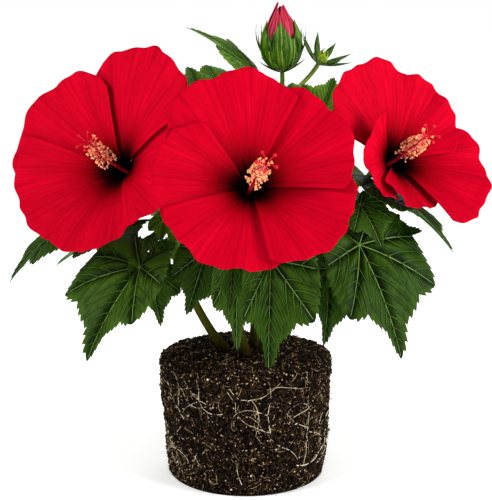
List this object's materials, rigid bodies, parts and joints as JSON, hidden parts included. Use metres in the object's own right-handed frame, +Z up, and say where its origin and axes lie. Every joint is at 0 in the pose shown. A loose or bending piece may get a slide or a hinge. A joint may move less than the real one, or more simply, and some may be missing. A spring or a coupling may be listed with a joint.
{
  "type": "hardy hibiscus shrub with its bare root ball",
  "caption": "Small leafy shrub with wide red funnel blooms, a fat bud and lobed toothed leaves on upright stems, standing on its bare round root ball.",
  "frame": {"origin": "centre of the root ball's flat underside", "axes": "+Z up out of the soil; -Y is the front, where the middle bloom looks; +X to the right seen from the front"},
  "size_m": [0.4624, 0.3637, 0.465],
  "materials": {
    "peat": "moist peat and bark fibre, rough, with pale roots and perlite",
    "green_stem": "green to olive-brown stem, satin",
    "leaf": "deep green leaf, satin above and pale matt below",
    "petal": "velvety red petal, maroon to black in the throat",
    "pollen": "powdery apricot pollen on a red column",
    "calyx": "fresh green sepals and bracts, matt",
    "bud_petal": "furled crimson petals, velvety"
  },
  "bodies": {
    "root": {"root_ball": "peat", "stem_left": "green_stem", "foliage_left": "leaf", "stem_middle": "green_stem", "foliage_middle": "leaf", "stem_right": "green_stem", "foliage_right": "leaf", "stem_bud": "green_stem", "foliage_bud": "leaf", "stem_back": "green_stem", "foliage_back": "leaf", "bloom_left_petal_1": "petal", "bloom_left_petal_2": "petal", "bloom_left_petal_3": "petal", "bloom_left_petal_4": "petal", "bloom_left_petal_5": "petal", "bloom_left_column": "pollen", "bloom_left_calyx": "calyx", "bloom_middle_petal_1": "petal", "bloom_middle_petal_2": "petal", "bloom_middle_petal_3": "petal", "bloom_middle_petal_4": "petal", "bloom_middle_petal_5": "petal", "bloom_middle_column": "pollen", "bloom_middle_calyx": "calyx", "bloom_right_petal_1": "petal", "bloom_right_petal_2": "petal", "bloom_right_petal_3": "petal", "bloom_right_petal_4": "petal", "bloom_right_petal_5": "petal", "bloom_right_column": "pollen", "bloom_right_calyx": "calyx", "bud_top_calyx": "calyx", "bud_side": "calyx", "bud_back": "calyx", "bud_top_petals": "bud_petal"}
  },
  "joints": []
}
